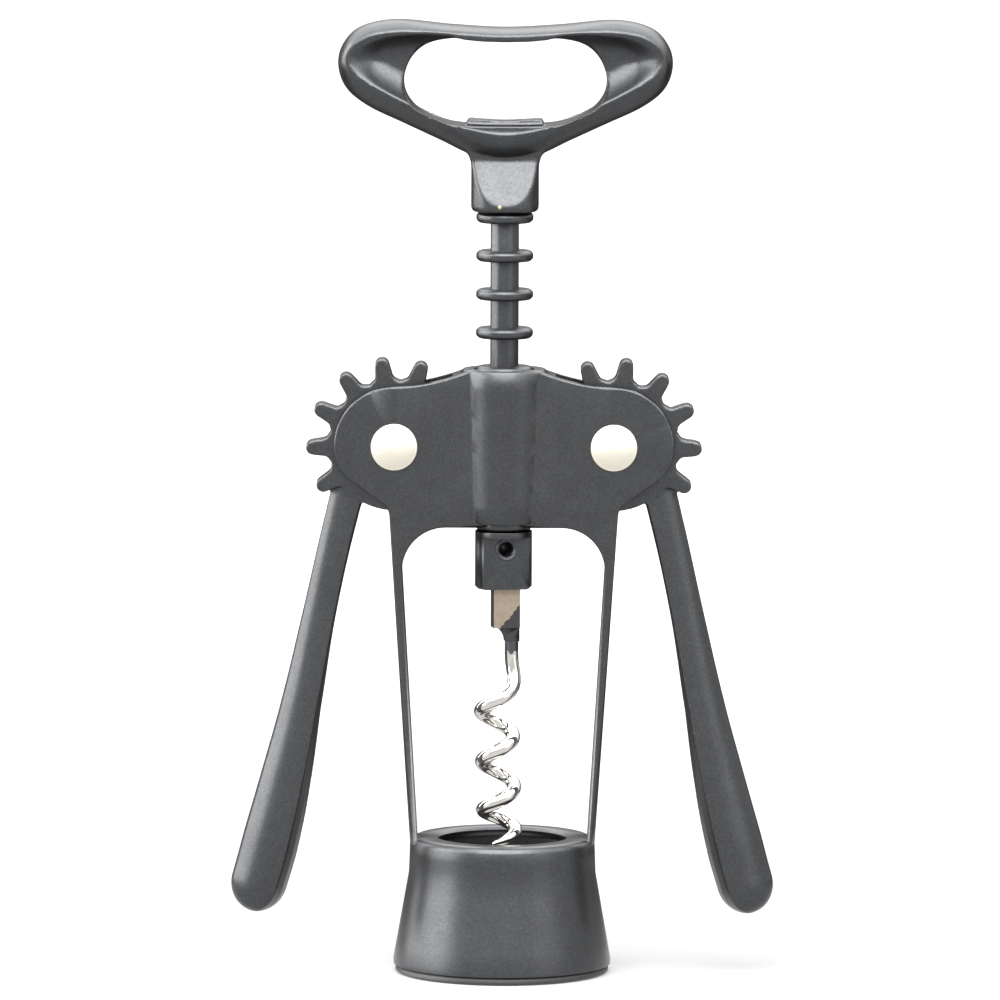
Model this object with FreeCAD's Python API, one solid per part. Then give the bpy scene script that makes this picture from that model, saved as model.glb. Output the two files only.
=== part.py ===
import FreeCAD, Part
import math
import os

Vector = FreeCAD.Vector

# Wing corkscrew, in millimetres. Z is up, X runs from wing to wing, -Y is the front.
# The origin is the centre of the bell's lower edge, where the corkscrew stands.

# Rack and toothed sectors
RING_PITCH = 7.24
RING_COUNT = 9
RING_RADIUS = 5.36
RING_THICKNESS = 2.0
RING_BEVEL = 0.55
TEETH_PER_TURN = 13
TOOTH_COUNT = 9
SECTOR_THICKNESS = 5.0
SECTOR_ROOT_RADIUS = 12.2
TOOTH_TIP_RADIUS = 16.57
TOOTH_TIP_HALF = 1.35
TOOTH_ROOT_HALF = 1.65
TOOTH_ROOT_FLARE = 0.8
MESH_ANGLE = 1.7
MESH_RING = 6
RING_DROP = 0.5
SLEEVE_RADIUS = 2.66

# Pivots of the wings
PIVOT_X = 20.6
PIVOT_Z = 99.65
RIVET_RADIUS = 2.2
RIVET_CLEARANCE = 0.06
RIVET_HEAD_RADIUS = 4.4
RIVET_HEAD_HEIGHT = 1.7
RIVET_HEAD_EDGE = 0.35
CAP_SOCKET_RADIUS = 1.3
CAP_STEM_LENGTH = 3.6

# Plates, legs and tube of the frame
PLATE_FACE = 4.75
SLOT_SIDE_CLEARANCE = 0.25
SECTOR_TIP_CLEARANCE = 0.55
PLATE_EDGE_ROUND = 0.4
EAR_RADIUS = 11.3
EAR_CHIN_RADIUS = 8.0
EAR_CHIN_TURN = 47.0
EAR_CHIN_RUN = 8.3
ARMPIT_RADIUS = 3.0
TUBE_ABOVE_PIVOT = 14.4
TUBE_STEP = 0.7
TUBE_TOP_RADIUS = 8.1
TUBE_BOTTOM_RADIUS = 7.4
TUBE_RIM_BEVEL = 0.4
RACK_CLEARANCE = 0.3
BORE_DRAFT = 0.4
SHOULDER_HALF_WIDTH = 6.9
SHOULDER_DROP = 0.2
ARCH_GAP = 0.88
ARCH_RADIUS = 8.15
LEG_TOP_OUTER = 21.55
LEG_TOP_INNER = 19.5
LEG_FOOT_OUTER = 17.3
LEG_FOOT_INNER = 15.85
LEG_SINK = 2.4

# Bell and its liner
BELL_TOP = 25.6
BELL_BASE_RADIUS = 20.45
BELL_BAND = 0.9
BELL_WAIST_RADIUS = 17.6
BELL_WAIST_Z = 18.8
BELL_NECK_RADIUS = 17.4
BELL_RIM_BEVEL = 1.2
BELL_WALL = 1.7
BELL_ROOF = 1.6
CORK_HOLE_RADIUS = 12.1
CORK_HOLE_BEVEL = 0.5
LIP_HEIGHT = 1.6
LIP_SET_BACK = 0.4
LIP_ROUND = 0.35
LINER_CLEARANCE = 0.05
LINER_HOLE_STEP = 0.25
NECK_BORE_RADIUS = 14.9
NECK_BORE_TOP = 17.5
NECK_LEAD_IN = 1.5

# Wings
REST_ANGLE = 17.4
ARM_LENGTH = 91.9
ARM_ROUND_SHARE = 0.32

# Spindle, its block and the worm
ROD_RADIUS = 1.7
ROD_CLEARANCE = 0.07
END_PLAY = 0.1
BLOCK_HEIGHT = 10.3
BLOCK_FLAT = 3.15
BLOCK_BEVEL = 0.5
BLOCK_TURN = 10.0
TANG_WIDTH = 5.0
TANG_DEPTH = 3.6
TANG_OFFSET = 0.4
TANG_LENGTH = 9.3
TANG_SHOW = 7.4
TANG_CUT_RADIUS = 2.6
TANG_CLEARANCE = 0.05
PIN_RADIUS = 1.8
PIN_BORE_RADIUS = 1.4
PIN_RIM_RADIUS = 2.1
PIN_RIM_HEIGHT = 0.18
PIN_BORE_DEPTH = 4.5
PIN_BELOW_BLOCK_TOP = 3.3
WIRE_RADIUS = 1.3
HELIX_RADIUS = 3.1
HELIX_PITCH = 9.5
HELIX_OFFSET = 0.7
HELIX_START_BELOW_BLOCK = 19.6
HELIX_START_TURN = 300.0
HELIX_TURN = 1020.0
HELIX_STRETCH = 60.0
SHANK_LENGTH = 5.0
BEND_REACH = 0.45
POINT_TURN = 120.0
POINT_RADIUS = 0.15
POINT_STEPS = 4
POINT_SHIFT = 0.4

# Handle
HUB_RADIUS = 6.35
HUB_BOTTOM_BEVEL = 0.5
HUB_COLLAR = 2.0
RAMP_TOP = 10.6
RAMP_SAG = 0.45
RAMP_MIDDLE_SHARE = 0.55
NECK_HALF_DEPTH = 2.6
WEB_HALF_DEPTH = 2.3
WEB_HALF_WIDTH = 11.0
WEB_FOOT = 7.5
WEB_TOP = 13.9
WEB_BEND_RISE = 0.6
WEB_BEND_SHARE = 0.22
LOOP_HALF_DEPTH = 6.5
CREST_WIDTH = 0.8
DISH_BITE = 0.62
DISH_DEPTH_SHARE = 0.37
HUB_SOCKET_DEPTH = 12.0
HUB_PIN_RADIUS = 1.0
HUB_PIN_HEIGHT = 3.6
CAP_REST_HALF = 10.0
CAP_REST_DROP = 0.9
TOOTH_HALF_WIDTH = 8.0
TOOTH_HEIGHT = 1.5
TOOTH_HALF_DEPTH = 1.3
TOOTH_END_SLOPE = 1.2
TOOTH_DIP = 0.45

# Places that follow from the sizes above
PITCH_RADIUS = RING_PITCH * TEETH_PER_TURN / (2 * math.pi)
RACK_BORE_RADIUS = RING_RADIUS + RACK_CLEARANCE
SLOT_HALF = SECTOR_THICKNESS / 2 + SLOT_SIDE_CLEARANCE
SLOT_RADIUS = TOOTH_TIP_RADIUS + SECTOR_TIP_CLEARANCE
MESH_RING_Z = PIVOT_Z - RING_DROP
TOP_RING_Z = MESH_RING_Z + MESH_RING * RING_PITCH
BOTTOM_RING_Z = TOP_RING_Z - (RING_COUNT - 1) * RING_PITCH
SLEEVE_TOP = TOP_RING_Z + RING_THICKNESS / 2
SLEEVE_BOTTOM = BOTTOM_RING_Z - RING_THICKNESS / 2
HUB_BOTTOM = SLEEVE_TOP + END_PLAY
BLOCK_TOP = SLEEVE_BOTTOM - END_PLAY
BLOCK_BOTTOM = BLOCK_TOP - BLOCK_HEIGHT
TUBE_TOP = PIVOT_Z + TUBE_ABOVE_PIVOT
ARCH_TOP = BLOCK_TOP + ARCH_GAP
TUBE_BOTTOM = ARCH_TOP + TUBE_STEP
BELL_CEILING = BELL_TOP - BELL_ROOF


def point(x, z, y=0.0):
    return Vector(x, y, z)


def line(a, b):
    return Part.LineSegment(a, b).toShape()


def arc(a, middle, b):
    return Part.Arc(a, middle, b).toShape()


def curve(points):
    spline = Part.BSplineCurve()
    spline.interpolate(points)
    return spline.toShape()


def on_circle(centre, radius, degrees):
    angle = math.radians(degrees)
    return point(centre.x + radius * math.cos(angle), centre.z + radius * math.sin(angle))


def arc_about(centre, radius, start, end):
    stops = (start, (start + end) / 2, end)
    return arc(*[on_circle(centre, radius, stop) for stop in stops])


def turned(edges):
    profile = Part.Face(Part.Wire(edges))
    return profile.revolve(Vector(0, 0, 0), Vector(0, 0, 1), 360)


def slab(edges, half_depth):
    profile = Part.Face(Part.Wire(edges))
    profile.translate(Vector(0, -half_depth, 0))
    return profile.extrude(Vector(0, 2 * half_depth, 0))


def mirrored(shape):
    return shape.mirror(Vector(0, 0, 0), Vector(1, 0, 0))


def along_y(radius, x, z, start, end):
    return Part.makeCylinder(radius, end - start, Vector(x, start, z), Vector(0, 1, 0))


def centred_bar(width, depth, low, high):
    return Part.makeBox(width, depth, high - low, Vector(-width / 2, -depth / 2, low))


def fillet_corner(before, corner, after, radius):
    """Tangent arc that rounds the corner between two straight runs, with its two ends."""
    to_before = (before - corner).normalize()
    to_after = (after - corner).normalize()
    half = to_before.getAngle(to_after) / 2
    reach = radius / math.tan(half)
    start = corner + to_before * reach
    end = corner + to_after * reach
    bisector = (to_before + to_after).normalize()
    middle = corner + bisector * (radius / math.sin(half) - radius)
    return start, arc(start, middle, end), end


def save(name, shape):
    shape = shape.removeSplitter()
    shape.exportStep("parts/%s.step" % name)
    print(name, shape.isValid(), len(shape.Solids), round(shape.Volume, 2))
    return shape


# Frame

def side_outline():
    """Half of the plates and one leg, seen from the front, open along the middle."""
    pivot = point(PIVOT_X, PIVOT_Z)
    ear_top = on_circle(pivot, EAR_RADIUS, 90)
    shoulder = point(SHOULDER_HALF_WIDTH, TUBE_TOP - SHOULDER_DROP)
    run = ear_top.x - shoulder.x
    fall = shoulder.z - ear_top.z
    crown = curve([
        shoulder,
        shoulder + point(0.33 * run, -0.52 * fall),
        shoulder + point(0.58 * run, -0.8 * fall),
        ear_top,
    ])
    chin_centre = point(PIVOT_X + EAR_RADIUS - EAR_CHIN_RADIUS, PIVOT_Z)
    chin = on_circle(chin_centre, EAR_CHIN_RADIUS, -EAR_CHIN_TURN)
    slope = math.radians(EAR_CHIN_TURN)
    armpit = chin + point(-math.sin(slope), -math.cos(slope)) * EAR_CHIN_RUN
    foot_z = BELL_TOP - LEG_SINK
    foot_outer = point(LEG_FOOT_OUTER, foot_z)
    foot_inner = point(LEG_FOOT_INNER, foot_z)
    armpit = point(LEG_TOP_OUTER, armpit.z)
    pit_start, pit, pit_end = fillet_corner(chin, armpit, foot_outer, ARMPIT_RADIUS)
    arch_corner = point(LEG_TOP_INNER, ARCH_TOP)
    arch_end = point(0, ARCH_TOP)
    arch_start, arch, arch_stop = fillet_corner(foot_inner, arch_corner, arch_end, ARCH_RADIUS)
    return [
        line(point(0, shoulder.z), shoulder),
        crown,
        arc_about(pivot, EAR_RADIUS, 90, 0),
        arc_about(chin_centre, EAR_CHIN_RADIUS, 0, -EAR_CHIN_TURN),
        line(chin, pit_start),
        pit,
        line(pit_end, foot_outer),
        line(foot_outer, foot_inner),
        line(foot_inner, arch_start),
        arch,
        line(arch_stop, arch_end),
        line(arch_end, point(0, shoulder.z)),
    ]


def leg_envelope():
    """Turned shape that curves the legs' outer faces, more and more towards the bell."""
    foot_z = BELL_TOP - LEG_SINK
    reach = PIVOT_X + 2 * EAR_RADIUS
    top = TUBE_TOP + EAR_RADIUS
    corners = [
        point(0, foot_z),
        point(LEG_FOOT_OUTER, foot_z),
        point(math.hypot(LEG_TOP_OUTER, PLATE_FACE), ARCH_TOP),
        point(reach, ARCH_TOP + EAR_RADIUS / 2),
        point(reach, top),
        point(0, top),
    ]
    loop = zip(corners, corners[1:] + corners[:1])
    return turned([line(a, b) for a, b in loop])


def plates_and_legs():
    plain = slab(side_outline(), PLATE_FACE)
    foot_z = BELL_TOP - LEG_SINK
    rims = []
    for edge in plain.Edges:
        box = edge.BoundBox
        on_face = box.YLength < 1e-4
        on_axis = box.XMax < 1e-4
        at_foot = box.ZMax < foot_z + 1e-4
        if on_face and not (on_axis or at_foot):
            rims.append(edge)
    right = plain.makeFillet(PLATE_EDGE_ROUND, rims).common(leg_envelope())
    return right.fuse(mirrored(right))


def tube():
    body = Part.makeCone(
        TUBE_BOTTOM_RADIUS, TUBE_TOP_RADIUS, TUBE_TOP - TUBE_BOTTOM, point(0, TUBE_BOTTOM))
    rims = [edge for edge in body.Edges if edge.BoundBox.ZLength < 1e-4]
    return body.makeChamfer(TUBE_RIM_BEVEL, rims)


def bell():
    band_top = point(BELL_BASE_RADIUS, LIP_HEIGHT + BELL_BAND)
    rim_in = BELL_NECK_RADIUS - BELL_RIM_BEVEL
    hole_edge = CORK_HOLE_RADIUS + CORK_HOLE_BEVEL
    corners = [
        point(BELL_BASE_RADIUS, LIP_HEIGHT),
        band_top,
        point(BELL_WAIST_RADIUS, BELL_WAIST_Z),
        point(BELL_NECK_RADIUS, BELL_TOP - BELL_RIM_BEVEL),
        point(BELL_NECK_RADIUS - 0.3 * BELL_RIM_BEVEL, BELL_TOP - 0.3 * BELL_RIM_BEVEL),
        point(rim_in, BELL_TOP),
        point(hole_edge, BELL_TOP),
        point(CORK_HOLE_RADIUS, BELL_TOP - CORK_HOLE_BEVEL),
        point(CORK_HOLE_RADIUS, BELL_CEILING),
        point(BELL_NECK_RADIUS - BELL_WALL, BELL_CEILING),
        point(BELL_BASE_RADIUS - BELL_WALL, LIP_HEIGHT),
    ]
    return turned([line(a, b) for a, b in zip(corners, corners[1:] + corners[:1])])


def rack_bore():
    """Cored hole for the rack, a little wider at its lower end, and longer than the tube."""
    height = TUBE_TOP - ARCH_TOP
    return Part.makeCone(RACK_BORE_RADIUS + 2 * BORE_DRAFT, RACK_BORE_RADIUS - BORE_DRAFT,
                         3 * height, point(0, ARCH_TOP - height))


def frame():
    body = plates_and_legs().fuse(tube()).cut(rack_bore())
    for side in (-1, 1):
        slot = along_y(SLOT_RADIUS, side * PIVOT_X, PIVOT_Z, -SLOT_HALF, SLOT_HALF)
        hole = along_y(RIVET_RADIUS, side * PIVOT_X, PIVOT_Z, -2 * PLATE_FACE, 2 * PLATE_FACE)
        body = body.cut(slot).cut(hole)
    return body.fuse(bell())


def bell_liner():
    """Plastic insert: lip under the bell, bore for the bottle's neck, smaller hole for the cork."""
    outer_top = point(BELL_NECK_RADIUS - BELL_WALL - LINER_CLEARANCE, BELL_CEILING)
    outer_base = point(BELL_BASE_RADIUS - BELL_WALL - LINER_CLEARANCE, LIP_HEIGHT)
    lip = BELL_BASE_RADIUS - LIP_SET_BACK
    hole = CORK_HOLE_RADIUS + LINER_HOLE_STEP
    lead = NECK_BORE_RADIUS + NECK_LEAD_IN
    corners = [
        outer_top,
        outer_base,
        point(lip, LIP_HEIGHT),
        point(lip, LIP_ROUND),
        point(lip - LIP_ROUND, 0),
        point(lead, 0),
        point(NECK_BORE_RADIUS, NECK_LEAD_IN),
        point(NECK_BORE_RADIUS, NECK_BORE_TOP),
        point(hole, NECK_BORE_TOP),
        point(hole, BELL_CEILING),
    ]
    return turned([line(a, b) for a, b in zip(corners, corners[1:] + corners[:1])])


# Rivets

def dome(x, face, direction):
    """Low domed head standing on a plate's face."""
    bulge = RIVET_HEAD_HEIGHT - RIVET_HEAD_EDGE
    radius = (RIVET_HEAD_RADIUS ** 2 + bulge ** 2) / (2 * bulge)
    ball = Part.makeSphere(radius, Vector(0, 0, RIVET_HEAD_HEIGHT - radius))
    head = Part.makeCylinder(RIVET_HEAD_RADIUS, RIVET_HEAD_HEIGHT).common(ball)
    head.rotate(Vector(0, 0, 0), Vector(1, 0, 0), -90 * direction)
    head.translate(Vector(x, face, PIVOT_Z))
    return head


def pivot_rivet(side):
    """Front half of the rivet: domed head and the hollow-ended shank that is the axle."""
    x = side * PIVOT_X
    head = dome(x, -PLATE_FACE, -1)
    shank = along_y(RIVET_RADIUS, x, PIVOT_Z, -PLATE_FACE, PLATE_FACE)
    socket = along_y(CAP_SOCKET_RADIUS, x, PIVOT_Z, PLATE_FACE - CAP_STEM_LENGTH, PLATE_FACE)
    return head.fuse(shank).cut(socket)


def pivot_cap(side):
    """Rear half of the rivet: domed head with a stem pressed into the shank."""
    x = side * PIVOT_X
    head = dome(x, PLATE_FACE, 1)
    stem = along_y(CAP_SOCKET_RADIUS, x, PIVOT_Z, PLATE_FACE - CAP_STEM_LENGTH, PLATE_FACE)
    return head.fuse(stem)


# Wings, built for the left side about their own pivot, then moved and mirrored

def sector_tooth(degrees):
    """One rounded tooth with flared root, pointing along X and then turned into place."""
    tip_centre = TOOTH_TIP_RADIUS - TOOTH_TIP_HALF
    flare_top = SECTOR_ROOT_RADIUS + TOOTH_ROOT_FLARE
    flare_foot = TOOTH_ROOT_HALF + TOOTH_ROOT_FLARE
    bend = TOOTH_ROOT_FLARE * (1 - math.sqrt(0.5))
    inner = SECTOR_ROOT_RADIUS - 2.0
    upper = [
        line(point(inner, flare_foot), point(SECTOR_ROOT_RADIUS, flare_foot)),
        arc(point(SECTOR_ROOT_RADIUS, flare_foot),
            point(SECTOR_ROOT_RADIUS + bend, TOOTH_ROOT_HALF + bend),
            point(flare_top, TOOTH_ROOT_HALF)),
        line(point(flare_top, TOOTH_ROOT_HALF), point(tip_centre, TOOTH_TIP_HALF)),
    ]
    lower = [edge.mirror(Vector(0, 0, 0), Vector(0, 0, 1)) for edge in upper]
    tip = arc(point(tip_centre, TOOTH_TIP_HALF), point(TOOTH_TIP_RADIUS, 0),
              point(tip_centre, -TOOTH_TIP_HALF))
    base = line(point(inner, -flare_foot), point(inner, flare_foot))
    edges = upper + [tip] + lower[::-1] + [base]
    wire = Part.Wire(Part.__sortEdges__(edges))
    face = Part.Face(wire)
    face.translate(Vector(0, -SECTOR_THICKNESS / 2, 0))
    tooth = face.extrude(Vector(0, SECTOR_THICKNESS, 0))
    tooth.rotate(Vector(0, 0, 0), Vector(0, 1, 0), -degrees)
    return tooth


def toothed_sector():
    half = SECTOR_THICKNESS / 2
    disc = along_y(SECTOR_ROOT_RADIUS, 0, 0, -half, half)
    step = 360.0 / TEETH_PER_TURN
    teeth = [sector_tooth(MESH_ANGLE + step * (index - 0.5)) for index in range(TOOTH_COUNT)]
    return disc.multiFuse(teeth)


def arm_section(reach, outer, inner, half_depth, draft):
    """Cross-section of the arm: round outer edge, flat faces, drafted inner edge."""
    round_width = ARM_ROUND_SHARE * (inner - outer)
    front_outer = Vector(outer + round_width, -half_depth, -reach)
    rear_outer = Vector(outer + round_width, half_depth, -reach)
    front_crease = Vector(inner - draft, -half_depth, -reach)
    rear_crease = Vector(inner - draft, half_depth, -reach)
    edge = Vector(inner, 0, -reach)
    return Part.Wire([
        arc(rear_outer, Vector(outer, 0, -reach), front_outer),
        line(front_outer, front_crease),
        line(front_crease, edge),
        line(edge, rear_crease),
        line(rear_crease, rear_outer),
    ])


# Shape of the arm as shares of its length: reach, outer edge, inner edge, half depth, draft
ARM_SHAPE = [
    (0.0435, -0.0990, -0.0272, 0.0239, 0.0038), (0.1741, -0.0919, -0.0245, 0.0277, 0.0038),
    (0.3700, -0.0762, -0.0076, 0.0348, 0.0038), (0.5658, -0.0620, 0.0218, 0.0462, 0.0103),
    (0.7182, -0.0566, 0.0479, 0.0544, 0.0185), (0.8487, -0.0533, 0.0631, 0.0588, 0.0229),
    (0.9249, -0.0495, 0.0664, 0.0566, 0.0229), (0.9684, -0.0381, 0.0588, 0.0457, 0.0185),
    (0.9902, -0.0239, 0.0468, 0.0316, 0.0131), (1.0000, 0.0033, 0.0370, 0.0163, 0.0065),
]


def arm():
    """Arm that widens and thickens to its rounded end, hanging straight down."""
    sections = [arm_section(*[share * ARM_LENGTH for share in shares]) for shares in ARM_SHAPE]
    return Part.makeLoft(sections, True, True)


def lever_left():
    hanging = arm()
    hanging.rotate(Vector(0, 0, 0), Vector(0, 1, 0), REST_ANGLE)
    bore = along_y(RIVET_RADIUS + RIVET_CLEARANCE, 0, 0, -PLATE_FACE, PLATE_FACE)
    lever = toothed_sector().fuse(hanging).cut(bore)
    lever.translate(point(-PIVOT_X, PIVOT_Z))
    return lever


# Rack and spindle

def rack_sleeve():
    """Sleeve with round rings: the sectors mesh with it at any turn of the handle."""
    sleeve = Part.makeCylinder(SLEEVE_RADIUS, SLEEVE_TOP - SLEEVE_BOTTOM, point(0, SLEEVE_BOTTOM))
    rings = []
    for index in range(RING_COUNT):
        low = BOTTOM_RING_Z + index * RING_PITCH - RING_THICKNESS / 2
        ring = Part.makeCylinder(RING_RADIUS, RING_THICKNESS, point(0, low))
        rims = [edge for edge in ring.Edges if edge.BoundBox.ZLength < 1e-4]
        rings.append(ring.makeChamfer(RING_BEVEL, rims))
    bore = Part.makeCylinder(
        ROD_RADIUS + ROD_CLEARANCE, SLEEVE_TOP - SLEEVE_BOTTOM, point(0, SLEEVE_BOTTOM))
    return sleeve.multiFuse(rings).cut(bore)


def spindle():
    """Block with two flats, slotted from below for the tang, and the rod up to the handle."""
    block = Part.makeCylinder(RING_RADIUS, BLOCK_HEIGHT, point(0, BLOCK_BOTTOM))
    rims = [edge for edge in block.Edges if edge.BoundBox.ZLength < 1e-4]
    block = block.makeChamfer(BLOCK_BEVEL, rims)
    block = block.common(centred_bar(3 * RING_RADIUS, 2 * BLOCK_FLAT, BLOCK_BOTTOM, BLOCK_TOP))
    pocket = centred_bar(
        TANG_WIDTH + 2 * TANG_CLEARANCE, TANG_DEPTH + 2 * TANG_CLEARANCE,
        BLOCK_BOTTOM, BLOCK_BOTTOM + TANG_LENGTH + TANG_CLEARANCE)
    pocket.translate(Vector(TANG_OFFSET, 0, 0))
    pin_hole = along_y(PIN_RADIUS, 0, pin_height(), -BLOCK_FLAT, BLOCK_FLAT)
    rod_top = HUB_BOTTOM + HUB_SOCKET_DEPTH
    rod_foot = BLOCK_TOP - BLOCK_BEVEL
    rod = Part.makeCylinder(ROD_RADIUS, rod_top - rod_foot, point(0, rod_foot))
    return about_spindle(block.fuse(rod).cut(pocket).cut(pin_hole)).cut(handle_pin_hole())


def pin_height():
    return BLOCK_TOP - PIN_BELOW_BLOCK_TOP


def about_spindle(shape):
    shape.rotate(Vector(0, 0, 0), Vector(0, 0, 1), BLOCK_TURN)
    return shape


def worm_pin():
    """Pin with rolled rims, hollow at its front end."""
    pin = along_y(PIN_RADIUS, 0, pin_height(), -BLOCK_FLAT, BLOCK_FLAT)
    for start in (-BLOCK_FLAT - PIN_RIM_HEIGHT, BLOCK_FLAT):
        pin = pin.fuse(along_y(PIN_RIM_RADIUS, 0, pin_height(), start, start + PIN_RIM_HEIGHT))
    front = -BLOCK_FLAT - PIN_RIM_HEIGHT
    bore = along_y(PIN_BORE_RADIUS, 0, pin_height(), front, front + PIN_BORE_DEPTH)
    return about_spindle(pin.cut(bore))


# Worm

def helix_point(turn, radius=HELIX_RADIUS):
    """Point of the right-handed helix, turn in degrees, falling as the turn decreases."""
    angle = math.radians(turn)
    z = BLOCK_BOTTOM - HELIX_START_BELOW_BLOCK + HELIX_PITCH * (turn - HELIX_START_TURN) / 360
    return Vector(radius * math.cos(angle) - HELIX_OFFSET, radius * math.sin(angle), z)


def helix_heading(turn):
    angle = math.radians(turn)
    rise = HELIX_PITCH / (2 * math.pi)
    heading = Vector(-HELIX_RADIUS * math.sin(angle), HELIX_RADIUS * math.cos(angle), rise)
    return heading.normalize() * -1


def helix_side(turn):
    """Direction from the helix's axis to the wire."""
    angle = math.radians(turn)
    return Vector(math.cos(angle), math.sin(angle), 0)


def wire_circle(radius, centre, heading, side):
    """Circle across the wire that starts on the given side, so that neighbours line up."""
    circle = Part.Circle(centre, heading, radius)
    circle.XAxis = side
    return Part.Wire(circle.toShape())


def shank():
    """Straight shank under the tang and its bend into the helix."""
    shank_x = TANG_OFFSET + TANG_WIDTH / 2 - WIRE_RADIUS
    top = point(shank_x, BLOCK_BOTTOM - TANG_SHOW)
    end = point(shank_x, top.z - SHANK_LENGTH)
    start = helix_point(HELIX_START_TURN)
    entry = helix_heading(HELIX_START_TURN)
    reach = (start - end).Length * BEND_REACH
    bend = Part.BezierCurve()
    bend.setPoles([end, end - point(0, reach), start - entry * reach, start])
    path = Part.Wire([line(top, end), bend.toShape()])
    section = wire_circle(WIRE_RADIUS, top, point(0, -1), point(1, 0))
    return path.makePipeShell([section], True, False)


def helix_circle(turn, share):
    """Section of the helix. Share runs from 0, the full wire, to 1, the point."""
    radius = WIRE_RADIUS * math.sqrt(1 - share) + POINT_RADIUS * share
    centre = helix_point(turn, HELIX_RADIUS + (WIRE_RADIUS - radius) * POINT_SHIFT)
    return wire_circle(radius, centre, helix_heading(turn), helix_side(turn))


def coil():
    """Right-handed helix in short lofted stretches, the last of them sharpened."""
    count = round(HELIX_TURN / HELIX_STRETCH)
    step = HELIX_TURN / count
    stretches = []
    for index in range(count):
        start = HELIX_START_TURN - step * index
        sections = [helix_circle(start - step * half, 0) for half in (0, 0.5, 1)]
        stretches.append(Part.makeLoft(sections, True, True))
    end = HELIX_START_TURN - HELIX_TURN
    shares = [index / POINT_STEPS for index in range(POINT_STEPS + 1)]
    sections = [helix_circle(end - POINT_TURN * share, share) for share in shares]
    return stretches + [Part.makeLoft(sections, True, True)]


def tang():
    """Flat upper end of the wire, cut back with a curve on its left side."""
    low = BLOCK_BOTTOM - TANG_SHOW
    bar = Part.makeBox(
        TANG_WIDTH, TANG_DEPTH, TANG_SHOW + TANG_LENGTH,
        Vector(TANG_OFFSET - TANG_WIDTH / 2, -TANG_DEPTH / 2, low))
    hole = along_y(PIN_RADIUS, 0, pin_height(), -BLOCK_FLAT, BLOCK_FLAT)
    throat_right = TANG_OFFSET + TANG_WIDTH / 2
    throat_left = throat_right - 2 * WIRE_RADIUS
    throat = slab([
        line(point(throat_right, low), point(throat_right, low - TANG_CUT_RADIUS)),
        line(point(throat_right, low - TANG_CUT_RADIUS), point(throat_left, low - TANG_CUT_RADIUS)),
        arc(point(throat_left, low - TANG_CUT_RADIUS),
            point(throat_left - 0.23 * TANG_CUT_RADIUS, low - 0.35 * TANG_CUT_RADIUS),
            point(throat_left - 0.73 * TANG_CUT_RADIUS, low)),
        line(point(throat_left - 0.73 * TANG_CUT_RADIUS, low), point(throat_right, low)),
    ], WIRE_RADIUS)
    return bar.fuse(throat).cut(hole)


def worm():
    return about_spindle(tang().multiFuse([shank()] + coil()))


# Handle

# Right half of each outline, from the top centre to the bottom centre: half width and
# height above the hub's lower edge.
LOOP_OUTER = [
    (0, 34.6), (10, 35.1), (20.5, 36.0), (27.3, 34.5), (30.6, 31.0), (31.3, 27.0), (29.7, 22.9),
    (25.6, 19.6), (18.8, 16.4), (12.3, 13.4), (6.3, 10.6), (0, 9.4),
]
LOOP_CREST = [
    (0, 33.5), (8.8, 33.9), (17, 34.2), (24.0, 33.6), (28.4, 31.6), (29.8, 28.5), (27.8, 25.4),
    (21.8, 21.9), (15.5, 18.8), (10, 16.4), (5, 14.8), (0, 14.2),
]
LOOP_HOLE = [
    (0, 32.6), (5.5, 32.8), (10.5, 32.9), (14.8, 31.8), (17.6, 29.4), (19.1, 26.0), (19.0, 22.6),
    (17.2, 19.6), (13.6, 17.4), (9.5, 16.3), (5, 15.9), (0, 15.8),
]


def closed_outline(half, y):
    left = [(-x, z) for x, z in half[1:-1]][::-1]
    points = [Vector(x, y, HUB_BOTTOM + z) for x, z in half + left]
    spline = Part.BSplineCurve()
    spline.interpolate(points, PeriodicFlag=True)
    return Part.Wire(spline.toShape())


def between(first, second, share):
    return [
        (a[0] + (b[0] - a[0]) * share, a[1] + (b[1] - a[1]) * share)
        for a, b in zip(first, second)
    ]


def loop_middle():
    return (LOOP_HOLE[0][1] + LOOP_HOLE[-1][1]) / 2


def inner_crest():
    """Crest line moved inwards by the crest's width."""
    moved = []
    for x, z in LOOP_CREST:
        away = math.hypot(x, z - loop_middle())
        share = 1 - CREST_WIDTH / away
        moved.append((x * share, loop_middle() + (z - loop_middle()) * share))
    return moved


def loop():
    """Opener loop: barrel-shaped outside, dished towards the hole from front and rear."""
    outer = Part.makeLoft([
        closed_outline(LOOP_CREST, -LOOP_HALF_DEPTH),
        closed_outline(LOOP_OUTER, 0),
        closed_outline(LOOP_CREST, LOOP_HALF_DEPTH),
    ], True, True)
    rim = inner_crest()
    bite = between(LOOP_HOLE, rim, DISH_BITE)
    shallow = LOOP_HALF_DEPTH * DISH_DEPTH_SHARE
    dish = Part.makeLoft([
        closed_outline(rim, -LOOP_HALF_DEPTH),
        closed_outline(bite, -shallow),
        closed_outline(LOOP_HOLE, 0),
        closed_outline(bite, shallow),
        closed_outline(rim, LOOP_HALF_DEPTH),
    ], True, True)
    return outer.cut(dish)


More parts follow.
